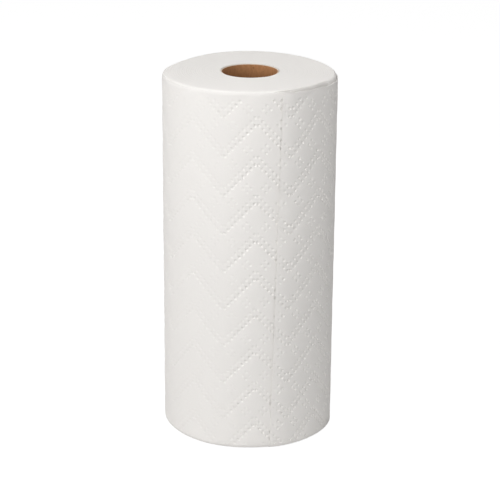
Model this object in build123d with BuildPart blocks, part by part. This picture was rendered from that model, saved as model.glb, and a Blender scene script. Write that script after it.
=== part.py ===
from build123d import *
from math import cos, pi, radians, sin, tan
import os

# Paper towel roll: an embossed paper web wound on a cardboard core, standing on its end.
# Frame: origin on the axis at the lower end, +Z up the axis, -Y towards the viewer. Millimetres.

# Roll
roll_height = 279.4
roll_diameter = 128.0
web_thickness = 0.6  # one turn of the embossed two-ply web
upper_shoulder = 5.1  # the soft rounding where the turns meet the upper end
lower_shoulder = 5.1
shoulder_slopes = 2  # flat slopes that draw one shoulder, each the edges of several turns

# Tail, the free edge of the outermost turn
tail_angle = -68.0  # degrees about the axis
tail_drop = 1.4  # from the upper end down to the outermost turn's edge, at the tail
tail_drop_half_way = 5.6  # the same, half a turn further on

# Core
core_bore = 41.3
core_wall = 0.75
core_recess = 0.6  # the tube stops this far inside each end of the roll
winding_clearance = 0.05  # between the tube and the innermost turn

# Turn lines on both ends, a spiral with one line for several turns of the web
turns_per_line = 13
turn_line_width = 1.0
turn_line_depth = 0.5
turn_line_margin = 2.0  # plain paper beside the core and beside the shoulder

# Embossing, zigzag creases pressed into the outside
crease_width = 3.0  # measured up the roll
crease_depth = 0.6
crease_facets = 32  # straight stretches in one row, around the roll
facets_per_leg = 2  # straight stretches before the zigzag turns
leg_slope = 45.0  # degrees from level
row_spacing = 29.3
plain_edge = 22.0  # least plain paper between the embossing and each end

core_radius = core_bore / 2 + core_wall
winding_radius = core_radius + winding_clearance
tail_radius = (roll_diameter + web_thickness / 2) / 2
up = Vector(0, 0, 1)
tail_direction = Vector(cos(radians(tail_angle)), sin(radians(tail_angle)), 0)


def half_turn_planes(pitch):
    """The two upright planes that a spiral of this pitch turns from, for half a turn each.

    A spiral that loses one pitch a turn is drawn as half circles about two centres, which
    lie a quarter of the pitch to either side of the axis, on the line through the tail.
    """
    square = up.cross(tail_direction)
    first = Plane(origin=tail_direction * (pitch / 4), x_dir=tail_direction, z_dir=-square)
    second = Plane(origin=tail_direction * (-pitch / 4), x_dir=-tail_direction, z_dir=square)
    return first, second


def shoulder_points(radius, end_height, shoulder, outward):
    """Points of one shoulder, from the flat end to the side. outward is 1 at the upper end."""
    points = []
    for slope in range(shoulder_slopes + 1):
        turn = pi / 2 * slope / shoulder_slopes
        across = radius - shoulder * (1 - sin(turn))
        points.append((across, end_height - outward * shoulder * (1 - cos(turn))))
    return points


def zigzag_height(facet):
    """How far the zigzag has climbed above its lowest corner after this many facets."""
    place = facet % (2 * facets_per_leg)
    facets_up = min(place, 2 * facets_per_leg - place)
    facet_width = 2 * pi * tail_radius / crease_facets
    return facets_up * facet_width * tan(radians(leg_slope))


# Core: a tube of cardboard
with BuildPart() as core:
    with BuildSketch(Plane.XY.offset(core_recess)):
        Circle(core_radius)
        Circle(core_bore / 2, mode=Mode.SUBTRACT)
    extrude(amount=roll_height - 2 * core_recess)
core.part.label = "core"

# Crease: the tool that presses one zigzag row, a V that points at the axis. It starts and
# ends half a facet to either side of the tail, and follows the radius of the web.
crease_clear = crease_depth
half_mouth = crease_width / 2 * (crease_depth + crease_clear) / crease_depth
with BuildPart() as crease:
    for facet in range(crease_facets):
        from_tail = (facet + 0.5) * 360 / crease_facets
        side_radius = tail_radius - web_thickness * from_tail / 360
        outward = tail_direction.rotate(Axis.Z, from_tail)
        with BuildSketch(Plane(origin=(0, 0, 0), x_dir=outward, z_dir=outward.cross(up))):
            with BuildLine():
                height = zigzag_height(facet)
                Polyline(
                    (side_radius - crease_depth, height),
                    (side_radius + crease_clear, height + half_mouth),
                    (side_radius + crease_clear, height - half_mouth),
                    close=True,
                )
            make_face()
    loft(ruled=True)

# Loose edge: the outermost turn stands up beside the soft shoulder, with a groove between
# them. Its skewed upper edge is highest at the tail and falls for half a turn, until it lies
# below the shoulder.
edge_slope = (tail_drop - tail_drop_half_way) / (2 * tail_radius)
edge_middle = roll_height - (tail_drop + tail_drop_half_way) / 2
skewed_edge = Plane(origin=(0, 0, edge_middle), z_dir=up + tail_direction * edge_slope)
with BuildPart() as loose_edge:
    first_plane = half_turn_planes(web_thickness)[0]
    first_radius = tail_radius - web_thickness / 4
    with BuildSketch(first_plane):
        with Locations((first_radius - web_thickness / 2, roll_height - upper_shoulder)):
            Rectangle(web_thickness, 2 * upper_shoulder)
    revolve(axis=Axis(first_plane.origin, up), revolution_arc=180)
    split(bisect_by=skewed_edge, keep=Keep.BOTTOM)

# Paper roll: the whole web as one solid, with the step of its tail, its soft shoulders, its
# loose edge, the lines of its turns and its embossing
with BuildPart() as paper_roll:
    for half, plane in enumerate(half_turn_planes(web_thickness)):
        half_radius = tail_radius - (0.25 + 0.5 * half) * web_thickness
        with BuildSketch(plane):
            with BuildLine():
                lower = shoulder_points(half_radius, 0, lower_shoulder, -1)
                upper = shoulder_points(half_radius, roll_height, upper_shoulder, 1)
                Polyline((0, 0), *lower, *reversed(upper), (0, roll_height), close=True)
            make_face()
        revolve(axis=Axis(plane.origin, up), revolution_arc=180)
    with BuildSketch():
        Circle(winding_radius)
    extrude(amount=roll_height, mode=Mode.SUBTRACT)

    line_pitch = turns_per_line * web_thickness
    line_start = tail_radius - max(upper_shoulder, lower_shoulder) - turn_line_margin
    line_turns = int((line_start - winding_radius - turn_line_margin) / line_pitch)
    for half, plane in enumerate(half_turn_planes(line_pitch)):
        with BuildSketch(plane):
            for turn in range(line_turns):
                line_radius = line_start - (turn + 0.25 + 0.5 * half) * line_pitch
                for end_height, inward in ((0, 1), (roll_height, -1)):
                    with BuildLine():
                        Polyline(
                            (line_radius, end_height + inward * turn_line_depth),
                            (line_radius - turn_line_width, end_height - inward * turn_line_depth),
                            (line_radius + turn_line_width, end_height - inward * turn_line_depth),
                            close=True,
                        )
                    make_face()
        revolve(axis=Axis(plane.origin, up), revolution_arc=180, mode=Mode.SUBTRACT)

    add(loose_edge.part)
    crease_climb = zigzag_height(facets_per_leg)
    crease_rows = 1 + int((roll_height - 2 * plain_edge - crease_climb) / row_spacing)
    first_row = (roll_height - crease_climb - (crease_rows - 1) * row_spacing) / 2
    with Locations(*[(0, 0, first_row + row * row_spacing) for row in range(crease_rows)]):
        add(crease.part, mode=Mode.SUBTRACT)
paper_roll.part.label = "paper_roll"

os.makedirs("parts", exist_ok=True)
export_step(core.part, "parts/core.step")
export_step(paper_roll.part, "parts/paper_roll.step")
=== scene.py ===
"""A paper towel roll that stands on its end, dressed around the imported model. Metres, +Z up."""
import logging
import math
from dataclasses import dataclass
from enum import Enum

import bmesh
import bpy
from mathutils import Matrix, Vector


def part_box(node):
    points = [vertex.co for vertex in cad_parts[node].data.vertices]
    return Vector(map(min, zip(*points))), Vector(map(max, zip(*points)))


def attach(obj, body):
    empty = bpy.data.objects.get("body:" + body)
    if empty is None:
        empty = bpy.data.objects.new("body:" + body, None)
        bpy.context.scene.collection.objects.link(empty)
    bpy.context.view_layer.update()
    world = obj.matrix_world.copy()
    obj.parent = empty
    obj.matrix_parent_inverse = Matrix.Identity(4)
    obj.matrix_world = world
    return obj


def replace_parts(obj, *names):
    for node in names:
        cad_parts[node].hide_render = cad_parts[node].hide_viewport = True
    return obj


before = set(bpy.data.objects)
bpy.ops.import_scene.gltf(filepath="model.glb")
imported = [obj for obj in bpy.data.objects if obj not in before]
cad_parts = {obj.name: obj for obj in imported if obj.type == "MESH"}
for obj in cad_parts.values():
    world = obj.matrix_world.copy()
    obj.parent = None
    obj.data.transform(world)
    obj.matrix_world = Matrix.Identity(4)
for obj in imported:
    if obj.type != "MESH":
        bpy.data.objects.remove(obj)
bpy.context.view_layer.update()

MM = 0.001
ML = 1e-6  # in cubic metres
BODY = "root"
PAPER_NODE, CORE_NODE = "paper_roll", "core"
ROLL_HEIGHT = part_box(PAPER_NODE)[1].z
WEB = 0.6 * MM  # one turn of the embossed two-ply web
SAME_PLACE = 1e-4  # in cells or shares of a flat layout
SAME_HEIGHT = 1e-7  # in metres
log = logging.getLogger("paper_towel_roll")

Colour = tuple[float, float, float]
Place = tuple[float, float, float]


def clamp(value: float, low: float = 0.0, high: float = 1.0) -> float:
    """A value kept between two limits."""
    return min(max(value, low), high)


def ease(value: float) -> float:
    """A smooth step from 0 to 1, for a value from 0 to 1."""
    value = clamp(value)
    return value * value * (3 - 2 * value)


def blend(first: float, second: float, value: float) -> float:
    """Goes smoothly from the first number to the second, for a value from 0 to 1."""
    return first + (second - first) * ease(value)


@dataclass(frozen=True)
class Stretch:
    """A stretch around the roll, in turns from the tail, that fades in and out."""

    start: float
    fade_in: float
    end: float
    fade_out: float
    wrap: float = 0.4

    def before_end(self, turned: float) -> float:
        """1 until the stretch ends and 0 after it, however many turns away."""
        return 1 - ease((turned - self.end) / self.fade_out)

    def share(self, turned: float) -> float:
        """1 in the stretch and 0 on the rest of every turn."""
        around = (turned + self.wrap) % 1.0 - self.wrap
        return ease((around - self.start) / self.fade_in) * self.before_end(around)


@dataclass(frozen=True)
class Spot:
    """A place around the roll, in turns from the tail, and how far it reaches."""

    turned: float
    reach: float

    def share(self, turned: float) -> float:
        """1 at the place, and less the further away from it."""
        away = math.remainder(turned - self.turned, 1.0) / self.reach
        return math.exp(-away * away)


@dataclass(frozen=True)
class Wave:
    """An even wave along the web. Its rate is in radians a turn."""

    size: float
    rate: float
    shift: float

    def at(self, turned: float) -> float:
        """The wave, this many turns along the web."""
        return self.size * math.sin(self.rate * turned + self.shift)


@dataclass(frozen=True)
class Ripple:
    """An uneven wave around the roll, two sines multiplied. Rates are in radians a turn."""

    size: float
    rate: float
    second_rate: float
    second_shift: float

    def at(self, turned: float) -> float:
        """The wave, this many turns from the tail."""
        second = math.sin(self.second_rate * turned + self.second_shift)
        return self.size * math.sin(self.rate * turned) * second


@dataclass(frozen=True)
class Winding:
    """The spiral that the web follows from its tail inwards, and how the soft roll gives.

    The rim is the edge of the upper end. It is crisp in front, crispest and untidy where the
    web has come loose behind the tail, and soft behind, with one soft corner. The foot has
    flatter flanks in front and is crisper on the right.
    """

    height: float = ROLL_HEIGHT
    tail_radius: float = 64.15 * MM
    web: float = WEB
    sheet: float = 0.55 * MM
    winding_radius: float = 21.45 * MM
    tail_azimuth: float = math.radians(-68.0)
    oval: float = -0.010
    oval_turn: float = -0.947
    lobes: float = 0.0219
    lobes_turn: float = -0.047
    upper_shoulder: float = 3.4 * MM
    soft_corner: float = 3.2 * MM
    soft_corner_spot: Spot = Spot(0.60, 0.085)
    front_shoulder: float = 2.6 * MM
    tail_shoulder: float = 1.2 * MM
    lower_shoulder: float = 5.1 * MM
    crisp_foot: float = 0.55
    crisp_foot_spot: Spot = Spot(0.17, 0.07)
    curl: float = 0.55 * MM
    round_reach: float = 90 * MM
    front_hold: float = 0.7
    foot_flats: tuple[tuple[float, Spot], ...] = (
        (0.018, Spot(-69 / 360, 24 / 360)), (0.011, Spot(8 / 360, 20 / 360)))
    round_rim: Stretch = Stretch(-0.10, 0.10, 0.08, 0.09)
    crisp_rim: Stretch = Stretch(-0.38, 0.11, 0.19, 0.13)
    loose_rim: Stretch = Stretch(-0.04, 0.06, 0.07, 0.09)
    free_edge: Stretch = Stretch(-0.06, 0.06, 0.09, 0.11)

    def radius(self, turned: float) -> float:
        """Outer radius of the web, this many turns from the tail."""
        return self.tail_radius - self.web * turned

    def place(self, turned: float, radius: float, height: float) -> Vector:
        """A point of the roll, with the roll's slight out-of-roundness.

        Args:
            turned: turns from the tail, which give the direction.
            radius: distance from the axis on a perfectly round roll.
            height: above the lower end.

        Returns:
            The point in the row frame.
        """
        azimuth = self.tail_azimuth + math.tau * turned
        soft = clamp((radius - self.winding_radius) / (self.tail_radius - self.winding_radius))
        from_back = azimuth - math.pi / 2
        give = self.oval * math.cos(2 * from_back - self.oval_turn)
        give += self.lobes * math.cos(3 * from_back - self.lobes_turn)
        near_top = ease(1 - (self.height - height) / self.round_reach)
        near_foot = ease(2 - height / self.round_reach)
        in_front = ease(-2 * math.cos(from_back))
        held = near_top * self.round_rim.share(turned)
        held += self.front_hold * near_foot * in_front
        give -= max(give, 0.0) * held
        for depth, spot in self.foot_flats:
            give -= depth * near_foot * spot.share(turned)
        radius *= 1 + soft * give
        return Vector((radius * math.cos(azimuth), radius * math.sin(azimuth), height))

    def shoulder(self, turned: float, upper: bool) -> float:
        """Radius of the soft rounding of an end.

        Args:
            turned: turns from the tail, which give the direction.
            upper: True for the upper end.

        Returns:
            The radius in metres.
        """
        if not upper:
            crisp = self.crisp_foot * self.crisp_foot_spot.share(turned)
            return self.lower_shoulder * (1 - crisp)
        widest = self.upper_shoulder + self.soft_corner * self.soft_corner_spot.share(turned)
        sharper = (widest - self.front_shoulder) * self.crisp_rim.share(turned)
        sharper += (self.front_shoulder - self.tail_shoulder) * self.loose_rim.share(turned)
        return widest - sharper

    def fall(self, inset: float, shoulder: float) -> float:
        """How far a rounding falls, this far inside the side, or comes in, this far down."""
        left = clamp(shoulder - inset, 0.0, shoulder)
        return shoulder - math.sqrt(shoulder**2 - left**2)


class Press(Enum):
    """What the embossing roller does to one cell of the web."""

    PLAIN = 0
    MAIN_DOT = 1
    DOT = 2


@dataclass(frozen=True)
class ZigzagEmbossing:
    """Rows of round pits in zigzags. A cell is a square of the web, and cells count from a
    lowest corner of the first main row."""

    cells_around: int = 144
    leg: int = 9
    tail_column: float = -2.25
    repeat: int = 10
    side_row: int = 2
    lozenges: tuple[int, ...] = (2, 6)
    lozenge_phase: int = 6
    lozenge_size: int = 1
    cell: float = 2.93 * MM
    first_corner_height: float = 24.55 * MM
    dot_margin: float = 0.05
    dot_walls: tuple[float, ...] = (0.17, 0.17)
    dot_shares: tuple[float, ...] = (0.65, 1.0)
    main_depth: float = 0.62 * MM
    dot_depth: float = 0.56 * MM
    taut: float = 0.82
    taut_turned: float = 0.80
    taut_reach: float = 0.19
    deepest: float = -0.50 * MM
    lift: float = 0.15 * MM
    crease_depth: float = 0.20 * MM
    puff: float = 0.17 * MM

    def zigzag(self, column: float) -> float:
        """Height of a main row above its lowest corners, in cells."""
        place = column % (2 * self.leg)
        return min(place, 2 * self.leg - place)

    def phase(self, column: float, row: float) -> float:
        """How far above a main row a point lies, in cells."""
        return (row - self.zigzag(column)) % self.repeat

    def in_lozenge(self, column: float, row: float) -> bool:
        """Whether a cell is in a ring of dots, two of which fill each leg between the rows.

        Args:
            column: of the cell's centre, around the roll.
            row: of the cell's centre, up the roll.

        Returns:
            True if a dot of a ring is pressed there.
        """
        along = column % (2 * self.leg)
        climbing = along < self.leg
        along %= self.leg
        for middle in self.lozenges:
            across = along - middle - 0.5
            start = middle + 0.5 if climbing else self.leg - middle - 0.5
            up = (row - start - self.lozenge_phase) % self.repeat
            up -= self.repeat if up > self.repeat / 2 else 0
            if round(abs(across) + abs(up), 3) == self.lozenge_size:
                return True
        return False

    def press(self, column: float, row: float) -> Press:
        """What is pressed into a cell.

        Args:
            column: of the cell's centre, around the roll.
            row: of the cell's centre, up the roll.

        Returns:
            The kind of dot, or PLAIN.
        """
        phase = round(self.phase(column, row), 3) % self.repeat
        if phase == 0:
            return Press.MAIN_DOT
        if phase == self.side_row or self.in_lozenge(column, row):
            return Press.DOT
        return Press.PLAIN

    def relief(self, column: float, row: float) -> float:
        """Height of the paper between the dots: creased along the rows and puffed between.

        Args:
            column: of the point, in cells around the roll.
            row: of the point, in cells up the roll.

        Returns:
            The height in metres, outwards from the web's own face.
        """
        phase = self.phase(column, row)
        low, high = (0, self.side_row) if phase <= self.side_row else (self.side_row, self.repeat)
        share = (phase - low) / (high - low)
        height = self.lift + self.puff * math.sqrt(share * (1 - share) * (high - low))
        if min(phase, self.repeat - phase) < SAME_PLACE:
            height -= self.crease_depth
        return height

    def dot_levels(self, column: float, row: float) -> list[float]:
        """Heights that a dot's walls step down to. Dots are shallow where the web is taut.

        Args:
            column: of the cell's centre, around the roll.
            row: of the cell's centre, up the roll.

        Returns:
            One height in metres for each wall, from the outermost to the floor.
        """
        depth = self.main_depth if self.press(column, row) is Press.MAIN_DOT else self.dot_depth
        turned = (column - self.tail_column) / self.cells_around
        taut = math.exp(-(((turned - self.taut_turned) / self.taut_reach) ** 2))
        top = self.relief(column, row)
        depth = min(depth * (1 - self.taut * taut), top - self.deepest)
        return [top - depth * share for share in self.dot_shares]


def turn_outwards(bm: bmesh.types.BMesh) -> None:
    """Turns all the faces of a closed mesh outwards.

    Args:
        bm: the mesh.
    """
    bmesh.ops.recalc_face_normals(bm, faces=bm.faces)
    if bm.calc_volume(signed=True) < 0:
        bmesh.ops.reverse_faces(bm, faces=bm.faces)


def new_object(name: str, bm: bmesh.types.BMesh, material: bpy.types.Material,
               sharp: float = math.radians(70.0)) -> bpy.types.Object:
    """Makes a smooth-shaded object of a finished bmesh and frees the bmesh.

    Args:
        name: the piece's name.
        bm: its mesh, in the row frame.
        material: its finish.
        sharp: edges that fold by more than this stay crisp.

    Returns:
        The linked object.
    """
    for face in bm.faces:
        face.smooth = True
    for edge in bm.edges:
        edge.smooth = edge.calc_face_angle(0.0) < sharp
    mesh = bpy.data.meshes.new(name)
    bm.to_mesh(mesh)
    bm.free()
    mesh.materials.append(material)
    made = bpy.data.objects.new(name, mesh)
    bpy.context.scene.collection.objects.link(made)
    return made


def report(piece: bpy.types.Object) -> None:
    """Logs a finished piece, its size and whether its mesh is closed.

    Args:
        piece: the object, in the row frame.
    """
    bm = bmesh.new()
    bm.from_mesh(piece.data)
    triangles = sum(len(face.verts) - 2 for face in bm.faces)
    open_edges = sum(1 for edge in bm.edges if len(edge.link_faces) != 2)
    volume = bm.calc_volume(signed=True)
    bm.free()
    log.info("%s: %d triangles, %d open edges, %.1f ml", piece.name, triangles, open_edges,
             volume / ML)


@dataclass
class OuterSheet:
    """One sheet of the outermost turn, from one perforation to the next, as a closed slab.

    Start, end, cut lean and tail reach are in cells, and rows count as the embossing's do.
    What is called turned or over is in turns, and so is the reach of the tail's lift. Each
    pair of sag rates is in radians a turn and radians a metre.
    """

    name: str
    start: float
    end: float
    winding: Winding
    embossing: ZigzagEmbossing
    cut_lean: float = 2.6
    has_tail: bool = False
    tucked_under: bool = False
    lowest_row: int = -11
    highest_row: int = 89
    edge_rows: int = 4
    back_rows: tuple[int, ...] = (1, 3)
    lower_edge: float = 1.2 * MM
    tail_drop: float = 1.5 * MM
    lowest_drop: float = 3.1 * MM
    lowest_turned: float = 0.13
    far_drop: float = 1.35 * MM
    far_turned: float = 0.15
    far_over: float = 0.40
    tucked_drop: float = 1.0 * MM
    tucked_turned: float = 0.62
    tucked_over: float = 0.08
    edge_ripples: tuple[Ripple, ...] = (
        Ripple(0.22 * MM, 97, 41, 1.0), Ripple(0.32 * MM, 367, 230, 2.0))
    tail_thinning: float = 0.78
    tail_reach: float = 2.5
    tail_lift: float = 0.30 * MM
    tail_lift_reach: float = 0.04
    low_lift: float = 1.0
    foot_reach: float = 60.0 * MM
    edge_thinning: float = 0.34 * MM
    edge_reach: float = 1.6 * MM
    sag_depth: float = 0.06 * MM
    sag_rates: tuple[tuple[float, float], ...] = ((41, 31), (5, 22))
    crisp_fold: float = math.radians(35.0)

    def upper_drop(self, turned: float) -> float:
        """How far the sheet's upper edge lies below the roll's upper end.

        Args:
            turned: turns from the tail.

        Returns:
            The drop in metres.
        """
        drop = blend(self.tail_drop, self.lowest_drop, turned / self.lowest_turned)
        drop += sum(ripple.at(turned) for ripple in self.edge_ripples)
        drop = blend(drop, self.far_drop, (turned - self.far_turned) / self.far_over)
        return blend(drop, self.tucked_drop, (turned - self.tucked_turned) / self.tucked_over)

    def height_of(self, row: float, turned: float) -> float:
        """Height of a row of the web. The outermost rows are squeezed to meet the edges.

        Args:
            row: in cells, whole or not.
            turned: turns from the tail.

        Returns:
            The height in metres above the lower end.
        """
        plain = self.embossing.first_corner_height + row * self.embossing.cell
        inner_high = self.highest_row - self.edge_rows
        inner_low = self.lowest_row + self.edge_rows
        if row > inner_high:
            start = self.embossing.first_corner_height + inner_high * self.embossing.cell
            edge = self.winding.height - self.upper_drop(turned)
            return start + (edge - start) * (row - inner_high) / self.edge_rows
        if row < inner_low:
            start = self.embossing.first_corner_height + inner_low * self.embossing.cell
            return start + (self.lower_edge - start) * (inner_low - row) / self.edge_rows
        return plain

    def sag(self, turned: float, height: float) -> float:
        """How the web departs from the plain spiral: uneven, lifted at the tail, curled in.

        Args:
            turned: turns from the tail.
            height: above the lower end.

        Returns:
            The distance outwards in metres.
        """
        winding = self.winding
        lying = 1 - winding.free_edge.before_end(turned)
        shoulder = winding.shoulder(turned, upper=True)
        curl = lying * winding.fall(winding.height - height, shoulder)
        curl += winding.fall(height, winding.shoulder(turned, upper=False))
        wave = self.sag_depth * math.prod(math.sin(around * turned + up * height)
                                          for around, up in self.sag_rates)
        lift = 0.0
        if self.has_tail:
            low = ease(height / self.foot_reach) * (1 - height / winding.height)
            lift = self.tail_lift * (1 + self.low_lift * low)
            lift *= math.exp(-max(turned, 0.0) / self.tail_lift_reach)
        return wave + lift - curl

    def flat_web(self) -> bmesh.types.BMesh:
        """The front face of the sheet, laid flat.

        Returns:
            A mesh with x in columns, y in rows and z outwards in metres.
        """
        first, last = math.floor(self.start - self.cut_lean), math.ceil(self.end)
        columns = last - first
        rows = self.highest_row - self.lowest_row
        bm = bmesh.new()
        bmesh.ops.create_grid(bm, x_segments=columns, y_segments=rows, size=0.5)
        bmesh.ops.scale(bm, vec=(columns, rows, 1), verts=bm.verts)
        middle = ((first + last) / 2, (self.lowest_row + self.highest_row) / 2, 0)
        bmesh.ops.translate(bm, vec=middle, verts=bm.verts)
        for vert in bm.verts:
            vert.co.x, vert.co.y = round(vert.co.x), round(vert.co.y)
            vert.co.z = self.embossing.relief(vert.co.x, vert.co.y)
        return bm

    def press_dots(self, bm: bmesh.types.BMesh) -> None:
        """Presses a round pit into each dotted cell.

        Args:
            bm: the flat front face.
        """
        emboss = self.embossing
        low, high = self.lowest_row + self.edge_rows, self.highest_row - self.edge_rows
        cells = []
        for face in bm.faces:
            centre = face.calc_center_median()
            if low < centre.y < high and emboss.press(centre.x, centre.y) is not Press.PLAIN:
                cells.append(face)
        bmesh.ops.inset_individual(bm, faces=cells, thickness=emboss.dot_margin)
        corners = list(dict.fromkeys(vert for face in cells for vert in face.verts))
        side = 1 - 2 * emboss.dot_margin
        bmesh.ops.bevel(bm, geom=corners, offset=side * (1 - math.sqrt(0.5)), segments=1,
                        offset_type="OFFSET", profile=0.5, affect="VERTICES", material=-1)
        pits = [face for face in bm.faces if len(face.verts) == 8]
        for step, wall in enumerate(emboss.dot_walls):
            bmesh.ops.inset_individual(bm, faces=pits, thickness=wall)
            for face in pits:
                centre = face.calc_center_median()
                level = emboss.dot_levels(math.floor(centre.x) + 0.5,
                                          math.floor(centre.y) + 0.5)[step]
                for vert in face.verts:
                    vert.co.z = level

    def close_back(self, bm: bmesh.types.BMesh) -> None:
        """Gives the sheet its thickness, with a plain back of long strips.

        Args:
            bm: the flat front face, closed to a slab here.
        """
        thick = self.winding.sheet
        chains = []
        for row in (self.lowest_row, self.highest_row):
            edge_line = [edge for edge in bm.edges if edge.is_boundary
                         and all(abs(vert.co.y - row) < SAME_PLACE for vert in edge.verts)]
            made = bmesh.ops.extrude_edge_only(bm, edges=edge_line)["geom"]
            for vert in (item for item in made if isinstance(item, bmesh.types.BMVert)):
                vert.co.z = -thick
            chains += [item for item in made if isinstance(item, bmesh.types.BMEdge)
                       and all(abs(vert.co.z + thick) < SAME_HEIGHT for vert in item.verts)]
        bmesh.ops.bridge_loops(bm, edges=chains)
        cuts = [self.lowest_row + step for step in self.back_rows]
        cuts += [self.highest_row - step for step in reversed(self.back_rows)]
        for row in cuts:
            back = [face for face in bm.faces
                    if all(abs(vert.co.z + thick) < SAME_HEIGHT for vert in face.verts)]
            geom = back + list(dict.fromkeys(edge for face in back for edge in face.edges))
            geom += list(dict.fromkeys(vert for face in back for vert in face.verts))
            bmesh.ops.bisect_plane(bm, geom=geom, plane_co=(0, row, 0), plane_no=(0, 1, 0))
        rims = [edge for edge in bm.edges if edge.is_boundary]
        bmesh.ops.holes_fill(bm, edges=rims, sides=0)

    def cut_edge(self, bm: bmesh.types.BMesh, column: float, keep_after: bool) -> None:
        """Cuts the closed slab along a line that leans back towards the lower end.

        Args:
            bm: the flat slab.
            column: where the line meets the upper end.
            keep_after: True to keep what follows the line, False to keep what precedes it.
        """
        low = Vector((column - self.cut_lean, self.lowest_row, 0))
        high = Vector((column, self.highest_row, 0))
        normal = (high - low).cross(Vector((0, 0, 1)))
        if not keep_after:
            normal.negate()
        geom = bm.verts[:] + bm.edges[:] + bm.faces[:]
        bmesh.ops.bisect_plane(bm, geom=geom, plane_co=low, plane_no=-normal, clear_outer=True)
        bmesh.ops.holes_fill(bm, edges=[edge for edge in bm.edges if edge.is_boundary], sides=0)

    def wrap(self, bm: bmesh.types.BMesh) -> None:
        """Lays the flat sheet on the roll.

        Args:
            bm: the flat slab with its ends cut.
        """
        winding = self.winding
        for vert in bm.verts:
            turned = (vert.co.x - self.embossing.tail_column) / self.embossing.cells_around
            height = self.height_of(vert.co.y, turned)
            outwards = vert.co.z
            if self.has_tail:
                up = (vert.co.y - self.lowest_row) / (self.highest_row - self.lowest_row)
                from_cut = vert.co.x - self.start + self.cut_lean * (1 - up)
                outwards *= 1 - self.tail_thinning * (1 - ease(from_cut / self.tail_reach))
            if outwards < -winding.sheet / 2:
                below = winding.height - self.upper_drop(turned) - height
                thinner = self.edge_thinning * math.exp(-below / self.edge_reach)
                outwards += thinner * winding.free_edge.before_end(turned)
            radius = winding.radius(turned) + outwards + self.sag(turned, height)
            vert.co = winding.place(turned, radius, height)

    def build(self, material: bpy.types.Material) -> bpy.types.Object:
        """Builds and dresses the sheet.

        Args:
            material: the paper.

        Returns:
            The piece, riding on the body.
        """
        bm = self.flat_web()
        self.press_dots(bm)
        self.close_back(bm)
        self.cut_edge(bm, self.start, keep_after=True)
        if not self.tucked_under:
            self.cut_edge(bm, self.end, keep_after=False)
        self.wrap(bm)
        turn_outwards(bm)
        piece = new_object(self.name, bm, material, self.crisp_fold)
        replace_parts(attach(piece, BODY), PAPER_NODE)
        return piece


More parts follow.
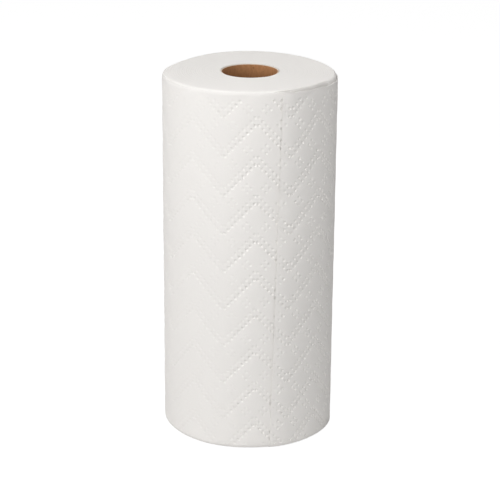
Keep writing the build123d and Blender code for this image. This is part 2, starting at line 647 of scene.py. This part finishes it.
@dataclass
class WoundTurns:
    """All the turns under the outer sheets, with the edges of the web spiralling on both ends."""

    winding: Winding
    lap: float
    rings_per_turn: int = 2
    segments: int = 128
    valley: float = 0.10 * MM
    gap: float = 0.05 * MM
    tail_lean: float = 0.5 * MM
    lean_ripple: Ripple = Ripple(0.7, 41 * math.tau, 17 * math.tau, 1.0)
    loose_valley: float = 1.1 * MM
    loose_turns: float = 4.5
    settle_width: float = 4.0 * MM
    inner_turns: float = 4.0
    end_waves: tuple[Wave, ...] = (
        Wave(0.05 * MM, 2.31, 0.7), Wave(0.03 * MM, 5.17, 0.0), Wave(0.02 * MM, 11.3, 2.0))
    end_drop: float = 0.10 * MM
    weld: float = 0.002 * MM
    crisp_fold: float = math.radians(80.0)

    def turns(self) -> int:
        """How many whole turns lie between the outer sheets and the core."""
        outer = self.winding.radius(1 + self.lap) - self.gap
        return int((outer - self.winding.winding_radius) / self.winding.web)

    def ring_point(self, around: float, inwards: float, valley: float, upper: bool) -> Vector:
        """A point on an end.

        Args:
            around: turns around the axis from this piece's own outer end.
            inwards: turns of the web between the point and the side, at that place.
            valley: 1 between two turns and 0 on the edge of a turn.
            upper: True on the upper end.

        Returns:
            The point in the row frame.
        """
        winding = self.winding
        turned = around + inwards
        from_tail = self.lap + around
        inset = winding.web * (turned + 1)
        radius = winding.radius(1 + self.lap + turned) - self.gap
        free = winding.free_edge.share(from_tail)
        lean = self.tail_lean * (1 + self.lean_ripple.at(from_tail)) * free
        settle = 1 - ease((inset - winding.web) / self.settle_width)
        radius -= settle * (lean if upper else winding.curl)
        span = self.turns() - turned
        radius = blend(winding.winding_radius + winding.web * span, radius,
                       span / self.inner_turns)
        shoulder = winding.shoulder(from_tail, upper)
        uneven = sum(wave.at(turned) for wave in self.end_waves)
        loose = winding.loose_rim.share(from_tail) * upper
        groove = self.valley + (self.loose_valley - self.valley) * loose * (
            1 - ease(turned / self.loose_turns))
        depth = winding.fall(inset - winding.web, shoulder) + valley * groove
        depth += (self.end_drop - uneven) * ease(inset / shoulder)
        height = winding.height - depth if upper else depth
        return winding.place(from_tail, radius, height)

    def flat_turns(self) -> bmesh.types.BMesh:
        """Both ends and the walls between them, unrolled.

        Returns:
            A mesh with x in segments, y in rings, and z 1 on the upper end and 0 on the lower.
        """
        rings, ring_step = (self.turns() - 1) * self.rings_per_turn, self.rings_per_turn
        bm = bmesh.new()
        bmesh.ops.create_grid(bm, x_segments=self.segments, y_segments=rings, size=0.5)
        for vert in bm.verts:
            vert.co = Vector((round((vert.co.x + 0.5) * self.segments),
                              round((vert.co.y + 0.5) * rings), 1))
        walls = []
        for edge in bm.edges:
            middle = (edge.verts[0].co + edge.verts[1].co) / 2
            outer_step = middle.x == 0 and middle.y < ring_step
            inner_step = middle.x == self.segments and middle.y > rings - ring_step
            if middle.y in (0, rings) or outer_step or inner_step:
                walls.append(edge)
        lower_end = bmesh.ops.duplicate(bm, geom=bm.verts[:] + bm.edges[:] + bm.faces[:])["geom"]
        wall = bmesh.ops.extrude_edge_only(bm, edges=walls)["geom"]
        lowered = [item for item in lower_end + wall if isinstance(item, bmesh.types.BMVert)]
        bmesh.ops.translate(bm, vec=(0, 0, -1), verts=lowered)
        bmesh.ops.remove_doubles(bm, verts=bm.verts, dist=SAME_PLACE)
        return bm

    def build(self, material: bpy.types.Material) -> bpy.types.Object:
        """Builds and dresses the wound turns.

        Args:
            material: the paper as its cut edges show it.

        Returns:
            The piece, riding on the body.
        """
        bm = self.flat_turns()
        for vert in bm.verts:
            ring = round(vert.co.y)
            vert.co = self.ring_point(vert.co.x / self.segments, ring / self.rings_per_turn,
                                      ring % self.rings_per_turn, vert.co.z > 0.5)
        bmesh.ops.remove_doubles(bm, verts=bm.verts, dist=self.weld)
        turn_outwards(bm)
        piece = new_object("wound_turns", bm, material, self.crisp_fold)
        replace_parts(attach(piece, BODY), PAPER_NODE)
        return piece


@dataclass
class CoreTube:
    """The cardboard tube, wound from strips, whose seam spirals up its bore."""

    height: float = ROLL_HEIGHT
    recess: float = 0.6 * MM
    bore_radius: float = 20.65 * MM
    wall: float = 0.75 * MM
    segments: int = 96
    levels: int = 72
    seam_lead: float = 92 * MM
    seam_width: float = 0.35 * MM
    seam_depth: float = 0.22 * MM
    strip_step: float = 0.10 * MM
    strip_fade: float = 9 * MM
    crowding: float = 0.86
    rim_groove: float = 0.12 * MM
    crisp_fold: float = math.radians(50.0)

    def profile(self, bm: bmesh.types.BMesh) -> None:
        """Makes the wall's closed outline in the XZ plane, before it is spun.

        Args:
            bm: an empty mesh.
        """
        low, high = self.recess, self.height - self.recess
        bmesh.ops.create_grid(bm, x_segments=2, y_segments=self.levels, size=0.5)
        for vert in bm.verts:
            across = vert.co.x + 0.5
            up = vert.co.y + 0.5
            middle = 1 - abs(2 * across - 1)
            groove = self.rim_groove * middle * ((up > 1 - SAME_PLACE) - (up < SAME_PLACE))
            vert.co = Vector((self.bore_radius + across * self.wall, 0,
                              low + up * (high - low) - groove))
        inner = [vert for vert in bm.verts if not vert.is_boundary]
        bmesh.ops.delete(bm, geom=inner, context="VERTS")
        bmesh.ops.delete(bm, geom=bm.faces[:], context="FACES_ONLY")
        across = [edge for edge in bm.edges
                  if all(len(vert.link_edges) > 2 for vert in edge.verts)]
        bmesh.ops.delete(bm, geom=across, context="EDGES")

    def wind(self, bm: bmesh.types.BMesh) -> None:
        """Twists the tube along its strips and presses the seam into the bore.

        Args:
            bm: the spun tube.
        """
        for vert in bm.verts:
            azimuth = math.atan2(vert.co.y, vert.co.x)
            radius = vert.co.xy.length
            crowded = azimuth - self.crowding * math.sin(azimuth)
            bore = clamp(1 - (radius - self.bore_radius) / (0.5 * self.wall))
            away = crowded * self.bore_radius
            seam = self.seam_depth * math.exp(-((away / self.seam_width) ** 2))
            step = self.strip_step * math.exp(-away / self.strip_fade) if away > 0 else 0.0
            radius += bore * (seam + step)
            turned = crowded + math.tau * vert.co.z / self.seam_lead
            vert.co.x, vert.co.y = radius * math.cos(turned), radius * math.sin(turned)

    def build(self, material: bpy.types.Material) -> bpy.types.Object:
        """Builds and dresses the tube.

        Args:
            material: the cardboard.

        Returns:
            The piece, riding on the body.
        """
        bm = bmesh.new()
        self.profile(bm)
        bmesh.ops.spin(bm, geom=bm.verts[:] + bm.edges[:], cent=(0, 0, 0), axis=(0, 0, 1),
                       angle=math.tau, steps=self.segments, use_merge=True)
        self.wind(bm)
        turn_outwards(bm)
        piece = new_object("core_tube", bm, material, self.crisp_fold)
        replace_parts(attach(piece, BODY), CORE_NODE)
        return piece


class Value:
    """A number that a socket gives, so that shader maths reads as arithmetic."""

    def __init__(self, nodes: "NodeMaker", socket: bpy.types.NodeSocket) -> None:
        """Wraps a socket of a material."""
        self.nodes = nodes
        self.socket = socket

    def apply(self, operation: str, *others: "Value | float", clamped: bool = False) -> "Value":
        """This value put through one Math node, with others behind it."""
        return self.nodes.math(operation, self, *others, clamped=clamped)

    def __add__(self, other: "Value | float") -> "Value":
        """Sum."""
        return self.apply("ADD", other)

    __radd__ = __add__

    def __sub__(self, other: "Value | float") -> "Value":
        """Difference."""
        return self.apply("SUBTRACT", other)

    def __rsub__(self, other: "Value | float") -> "Value":
        """Difference from a number."""
        return self.nodes.math("SUBTRACT", other, self)

    def __mul__(self, other: "Value | float") -> "Value":
        """Product."""
        return self.apply("MULTIPLY", other)

    __rmul__ = __mul__

    def __truediv__(self, other: "Value | float") -> "Value":
        """Quotient."""
        return self.apply("DIVIDE", other)

    def __pow__(self, other: "Value | float") -> "Value":
        """Power."""
        return self.apply("POWER", other)

    def limited(self) -> "Value":
        """The value kept between 0 and 1."""
        return self.apply("ADD", 0.0, clamped=True)


class NodeMaker:
    """Makes the nodes of one material or world."""

    def __init__(self, tree: bpy.types.NodeTree) -> None:
        """Starts with an empty tree."""
        self.tree = tree
        tree.nodes.clear()

    def make(self, kind: str, settings: dict | None = None,
             inputs: dict | None = None) -> bpy.types.Node:
        """Makes a node.

        Args:
            kind: Blender's name for the node.
            settings: its properties, set first.
            inputs: a value, a socket or a Value for each input by name or number.

        Returns:
            The node.
        """
        node = self.tree.nodes.new(kind)
        for name, value in (settings or {}).items():
            setattr(node, name, value)
        for name, value in (inputs or {}).items():
            source = value.socket if isinstance(value, Value) else value
            if isinstance(source, bpy.types.NodeSocket):
                self.tree.links.new(source, node.inputs[name])
            else:
                node.inputs[name].default_value = source
        return node

    def math(self, operation: str, *values: "Value | float", clamped: bool = False) -> Value:
        """Makes one Math node.

        Args:
            operation: Blender's name for it.
            values: numbers or values, one for each input.
            clamped: True to keep the result between 0 and 1.

        Returns:
            The result.
        """
        node = self.make("ShaderNodeMath", {"operation": operation, "use_clamp": clamped},
                         dict(enumerate(values)))
        return Value(self, node.outputs[0])

    def position(self, stretch: Place = (1, 1, 1)) -> bpy.types.NodeSocket:
        """Object coordinates in metres.

        Args:
            stretch: what each axis is multiplied by.

        Returns:
            The vector socket.
        """
        place = self.make("ShaderNodeTexCoord").outputs["Object"]
        mapping = self.make("ShaderNodeMapping", {}, {"Vector": place, "Scale": stretch})
        return mapping.outputs["Vector"]

    def axes(self) -> tuple[Value, Value, Value]:
        """The three object coordinates as values."""
        split = self.make("ShaderNodeSeparateXYZ", {}, {0: self.position()})
        return tuple(Value(self, output) for output in split.outputs)

    def noise(self, scale: float, detail: float = 2.0, rough: float = 0.5,
              stretch: Place = (1, 1, 1)) -> Value:
        """Noise in object coordinates.

        Args:
            scale: waves a metre.
            detail: finer layers on top of the first.
            rough: strength of each finer layer.
            stretch: what each axis is multiplied by first.

        Returns:
            The noise, from 0 to 1.
        """
        node = self.make("ShaderNodeTexNoise", {}, {"Vector": self.position(stretch),
                         "Scale": scale, "Detail": detail, "Roughness": rough})
        return Value(self, node.outputs[0])

    def noise_along(self, value: Value, scale: float, detail: float = 2.0) -> Value:
        """Noise that changes along one value only.

        Args:
            value: what it changes along.
            scale: waves for each unit of the value.
            detail: finer layers on top of the first.

        Returns:
            The noise, from 0 to 1.
        """
        node = self.make("ShaderNodeTexNoise", {"noise_dimensions": "1D"},
                         {"W": value, "Scale": scale, "Detail": detail})
        return Value(self, node.outputs[0])

    def mix(self, factor: Value, first: "Colour | bpy.types.NodeSocket",
            second: "Colour | bpy.types.NodeSocket") -> bpy.types.NodeSocket:
        """Mixes two colours.

        Args:
            factor: 0 for the first colour and 1 for the second.
            first: three numbers or a socket.
            second: the same.

        Returns:
            The colour socket.
        """
        node = self.make("ShaderNodeMix", {"data_type": "RGBA"}, {0: factor})
        for number, colour in ((6, first), (7, second)):
            if isinstance(colour, bpy.types.NodeSocket):
                self.tree.links.new(colour, node.inputs[number])
            else:
                node.inputs[number].default_value = (*colour, 1)
        return node.outputs[2]

    def bump(self, height: Value, distance: float, strength: float = 1.0,
             under: bpy.types.NodeSocket | None = None) -> bpy.types.NodeSocket:
        """Bends the normal by a height.

        Args:
            height: from 0 to 1.
            distance: what a height of 1 stands for, in metres.
            strength: how much of it shows.
            under: another normal that it goes on top of.

        Returns:
            The normal socket.
        """
        inputs = {"Height": height, "Distance": distance, "Strength": strength}
        if under is not None:
            inputs["Normal"] = under
        return self.make("ShaderNodeBump", {}, inputs).outputs["Normal"]


def new_material(name: str) -> tuple[bpy.types.Material, NodeMaker]:
    """Makes an empty material.

    Args:
        name: the finish.

    Returns:
        The material and the maker of its nodes.
    """
    material = bpy.data.materials.new(name)
    material.use_nodes = True
    return material, NodeMaker(material.node_tree)


@dataclass(frozen=True)
class TowelPaper:
    """Absorbent paper: matt, creped across the web, with short fibres."""

    name: str = "towel_paper"
    light: Colour = (0.905, 0.880, 0.850)
    shade: Colour = (0.860, 0.838, 0.812)
    roughness: float = 0.95
    fibre_gloss: float = 0.08
    specular: float = 0.25
    patch_scale: float = 28.0
    patch_share: float = 0.7
    fibre_share: float = 0.8
    crepe_lines: float = 1400.0
    crepe_stretch: Place = (1, 1, 0.12)
    crepe_height: float = 0.07 * MM
    fibre_scale: float = 2600.0
    fibre_clump: float = 3.0
    fibre_height: float = 0.05 * MM
    fibre_strength: float = 0.8

    def tone(self, nodes: NodeMaker) -> Value:
        """How far the colour goes from the shade to the light, over the web.

        Args:
            nodes: the maker of the material's nodes.

        Returns:
            0 for the shade and 1 for the light.
        """
        patches = (nodes.noise(self.patch_scale, detail=3.0) - 0.5) * self.patch_share
        clumps = nodes.noise(self.fibre_scale / self.fibre_clump, detail=3.0, rough=0.6)
        fibres = (clumps - 0.5) * self.fibre_share
        return (0.5 + patches + fibres).limited()

    def make(self) -> bpy.types.Material:
        """Builds the material.

        Returns:
            The finish, with its nodes.
        """
        material, nodes = new_material(self.name)
        crepe = nodes.noise(self.crepe_lines, detail=3.0, rough=0.55, stretch=self.crepe_stretch)
        fibre = nodes.noise(self.fibre_scale, detail=4.0, rough=0.65)
        creped = nodes.bump(crepe, self.crepe_height)
        normal = nodes.bump(fibre, self.fibre_height, self.fibre_strength, creped)
        shader = nodes.make("ShaderNodeBsdfPrincipled", {}, {
            "Base Color": nodes.mix(self.tone(nodes), self.shade, self.light),
            "Roughness": self.roughness - self.fibre_gloss * fibre,
            "Specular IOR Level": self.specular,
            "Normal": normal})
        nodes.make("ShaderNodeOutputMaterial", {}, {"Surface": shader.outputs[0]})
        return material


@dataclass(frozen=True)
class CutPaper(TowelPaper):
    """The same paper where the saw cut the roll: its tone changes from turn to turn."""

    name: str = "cut_paper"
    middle_tone: float = 0.45
    ring_scale: float = 420.0
    ring_share: float = 0.55
    turn_scale: float = 1 / WEB
    turn_share: float = 0.5
    sector_scale: float = 1.1
    sector_share: float = 0.35

    def tone(self, nodes: NodeMaker) -> Value:
        """How far the colour goes from the shade to the light, over an end.

        Args:
            nodes: the maker of the material's nodes.

        Returns:
            0 for the shade and 1 for the light.
        """
        x, y, _ = nodes.axes()
        radius = (x * x + y * y) ** 0.5
        azimuth = nodes.math("ARCTAN2", y, x)
        rings = (nodes.noise_along(radius, self.ring_scale, detail=3.0) - 0.5) * self.ring_share
        turns = (nodes.noise_along(radius, self.turn_scale, detail=1.0) - 0.5) * self.turn_share
        sectors = (nodes.noise_along(azimuth, self.sector_scale) - 0.5) * self.sector_share
        return (self.middle_tone + rings + turns + sectors).limited()


@dataclass(frozen=True)
class Cardboard:
    """Brown recycled board with long fibres and specks. Painted shade darkens it away from its
    ends, standing in for the shade deep in the bore, and its cut rims are pale."""

    name: str = "brown_cardboard"
    light: Colour = (0.67, 0.325, 0.145)
    dark: Colour = (0.40, 0.195, 0.085)
    # Painted shade: darker board colours that stand in for the shade deep inside the bore.
    painted_shade_light: Colour = (0.16, 0.066, 0.020)
    painted_shade_dark: Colour = (0.10, 0.042, 0.014)
    rim: Colour = (0.72, 0.60, 0.47)
    half_height: float = ROLL_HEIGHT / 2
    # Painted shade: how far into the bore the darker colours take over from the board's own.
    painted_shade_reach: float = 15.0 * MM
    rim_reach: float = 0.72 * MM
    rim_blend: float = 0.05 * MM
    speck: Colour = (0.12, 0.062, 0.03)
    speck_scale: float = 650.0
    speck_threshold: float = 0.66
    speck_crispness: float = 12.0
    speck_strength: float = 0.7
    patch_scale: float = 60.0
    patch_share: float = 0.9
    fibre_scale: float = 900.0
    fibre_stretch: Place = (1, 1, 0.35)
    fibre_share: float = 1.4
    fibre_gloss: float = 0.15
    fibre_height: float = 0.06 * MM
    roughness: float = 0.82
    specular: float = 0.3

    def make(self) -> bpy.types.Material:
        """Builds the material.

        Returns:
            The finish, with its nodes.
        """
        material, nodes = new_material(self.name)
        fibres = nodes.noise(self.fibre_scale, detail=4.0, rough=0.6, stretch=self.fibre_stretch)
        patches = (nodes.noise(self.patch_scale, detail=3.0) - 0.5) * self.patch_share
        tone = (0.5 + (fibres - 0.5) * self.fibre_share + patches).limited()
        _, _, height = nodes.axes()
        # Painted shade: away from either end the board blends to darker colours for the shade
        # deep in the bore.
        from_end = self.half_height - (height - self.half_height).apply("ABSOLUTE")
        clear_of_painted_shade = (1 - from_end / self.painted_shade_reach).limited()
        plain = nodes.mix(clear_of_painted_shade, nodes.mix(tone, self.painted_shade_dark, self.painted_shade_light),
                          nodes.mix(tone, self.dark, self.light))
        specks = nodes.noise(self.speck_scale) - self.speck_threshold
        speck = (specks * self.speck_crispness).limited() * self.speck_strength
        speckled = nodes.mix(speck, plain, self.speck)
        on_rim = (1 - (from_end - self.rim_reach) / self.rim_blend).limited()
        shader = nodes.make("ShaderNodeBsdfPrincipled", {}, {
            "Base Color": nodes.mix(on_rim, speckled, self.rim),
            "Roughness": self.roughness - self.fibre_gloss * fibres,
            "Specular IOR Level": self.specular,
            "Normal": nodes.bump(fibres, self.fibre_height)})
        nodes.make("ShaderNodeOutputMaterial", {}, {"Surface": shader.outputs[0]})
        return material


@dataclass(frozen=True)
class Lamp:
    """A soft square lamp, with its size in metres and its power in watts."""

    name: str
    place: Place
    size: float
    power: float


@dataclass
class Studio:
    """White room, soft lights and the camera."""

    floor_size: float = 16.0
    floor_glow: float = 0.75
    floor_glow_strength: float = 1.24
    floor_colour: Colour = (0.86, 0.86, 0.86)
    room_light: float = 0.195
    camera_back: float = 1312.7 * MM
    camera_up: float = 610.0 * MM
    camera_pitch: float = math.radians(19.754)
    camera_roll: float = math.radians(-0.455)
    camera_yaw: float = math.radians(0.053)
    focal_pixels: float = 1826.7
    picture_width: int = 500
    sensor: float = 36.0
    view_depth: float = 50.0
    aim: Place = (0.0, 0.0, 0.14)
    lamps: tuple[Lamp, ...] = (
        Lamp("front_light", (-0.31, -1.15, 1.21), 0.6, 7.2),
        Lamp("side_light", (-0.97, -0.68, 1.21), 0.6, 10.4),
        Lamp("top_light", (0.0, 0.3, 2.2), 1.2, 2.0),
        Lamp("right_light", (0.46, -0.385, 0.95), 0.45, 1.98))

    def seen_or_mirrored(self, nodes: NodeMaker) -> Value:
        """Tells the rays that show a surface from those that light it.

        Args:
            nodes: the maker of the material's or the world's nodes.

        Returns:
            1 for camera, glossy and transmission rays, and 0 for the others.
        """
        path = nodes.make("ShaderNodeLightPath")
        rays = [Value(nodes, path.outputs[name])
                for name in ("Is Camera Ray", "Is Glossy Ray", "Is Transmission Ray")]
        return (rays[0] + rays[1] + rays[2]).limited()

    def make_world(self) -> None:
        """White where it is seen, dimmer where it lights the roll."""
        world = bpy.data.worlds.new("white_room")
        world.use_nodes = True
        bpy.context.scene.world = world
        nodes = NodeMaker(world.node_tree)
        light = nodes.make("ShaderNodeBackground", {}, {"Strength": self.room_light})
        white = nodes.make("ShaderNodeBackground", {}, {"Strength": 1.0})
        for shader in (light, white):
            shader.inputs["Color"].default_value = (1, 1, 1, 1)
        mixed = nodes.make("ShaderNodeMixShader", {}, {0: self.seen_or_mirrored(nodes),
                           1: light.outputs[0], 2: white.outputs[0]})
        nodes.make("ShaderNodeOutputWorld", {}, {"Surface": mixed.outputs[0]})

    def make_floor(self) -> None:
        """A pale floor that looks white and keeps a soft shadow under the roll."""
        bm = bmesh.new()
        bmesh.ops.create_grid(bm, x_segments=1, y_segments=1, size=self.floor_size / 2)
        material, nodes = new_material("pale_floor")
        matt = nodes.make("ShaderNodeBsdfDiffuse", {}, {"Color": (*self.floor_colour, 1)})
        glow = nodes.make("ShaderNodeEmission", {}, {"Color": (1, 1, 1, 1),
                          "Strength": self.floor_glow_strength})
        mixed = nodes.make("ShaderNodeMixShader", {}, {
            0: self.seen_or_mirrored(nodes) * self.floor_glow,
            1: matt.outputs[0], 2: glow.outputs[0]})
        nodes.make("ShaderNodeOutputMaterial", {}, {"Surface": mixed.outputs[0]})
        new_object("floor", bm, material)

    def make_lamps(self) -> None:
        """Lamps that look at the middle of the roll."""
        for lamp in self.lamps:
            light = bpy.data.lights.new(lamp.name, "AREA")
            light.shape, light.size, light.energy = "SQUARE", lamp.size, lamp.power
            made = bpy.data.objects.new(lamp.name, light)
            made.location = lamp.place
            made.rotation_mode = "QUATERNION"
            towards = Vector(self.aim) - made.location
            made.rotation_quaternion = towards.to_track_quat("-Z", "Y")
            bpy.context.scene.collection.objects.link(made)

    def make_camera(self) -> None:
        """The photograph's viewpoint."""
        pitch, yaw, roll = self.camera_pitch, self.camera_yaw, self.camera_roll
        ahead = Vector((math.sin(yaw) * math.cos(pitch), math.cos(yaw) * math.cos(pitch),
                        -math.sin(pitch)))
        level = Vector((math.cos(yaw), -math.sin(yaw), 0))
        upright = level.cross(ahead)
        right = level * math.cos(roll) - upright * math.sin(roll)
        up = level * math.sin(roll) + upright * math.cos(roll)
        data = bpy.data.cameras.new("camera")
        data.sensor_width = self.sensor
        data.lens = self.focal_pixels / self.picture_width * self.sensor
        data.clip_end = self.view_depth
        camera = bpy.data.objects.new("camera", data)
        turn = Matrix((right, up, -ahead)).transposed().to_4x4()
        camera.matrix_world = Matrix.Translation((0, -self.camera_back, self.camera_up)) @ turn
        bpy.context.scene.collection.objects.link(camera)
        bpy.context.scene.camera = camera

    def build(self) -> None:
        """Sets up the whole studio."""
        self.make_world()
        self.make_floor()
        self.make_lamps()
        self.make_camera()
        bpy.context.scene.view_settings.view_transform = "Standard"


def main() -> None:
    """Builds the roll piece by piece, then the studio."""
    logging.basicConfig(level=logging.INFO, format="%(name)s: %(message)s")
    winding = Winding()
    embossing = ZigzagEmbossing()
    paper = TowelPaper().make()
    tail, perforation, whole_turn = embossing.tail_column, 73, embossing.cells_around
    sheets = (
        OuterSheet("outer_sheet_1", tail, perforation, winding, embossing, has_tail=True),
        OuterSheet("outer_sheet_2", perforation, whole_turn, winding, embossing,
                   tucked_under=True),
    )
    for sheet in sheets:
        report(sheet.build(paper))
    report(WoundTurns(winding, lap=-tail / whole_turn).build(CutPaper().make()))
    report(CoreTube().build(Cardboard().make()))
    Studio().build()


if __name__ == "__main__":
    main()
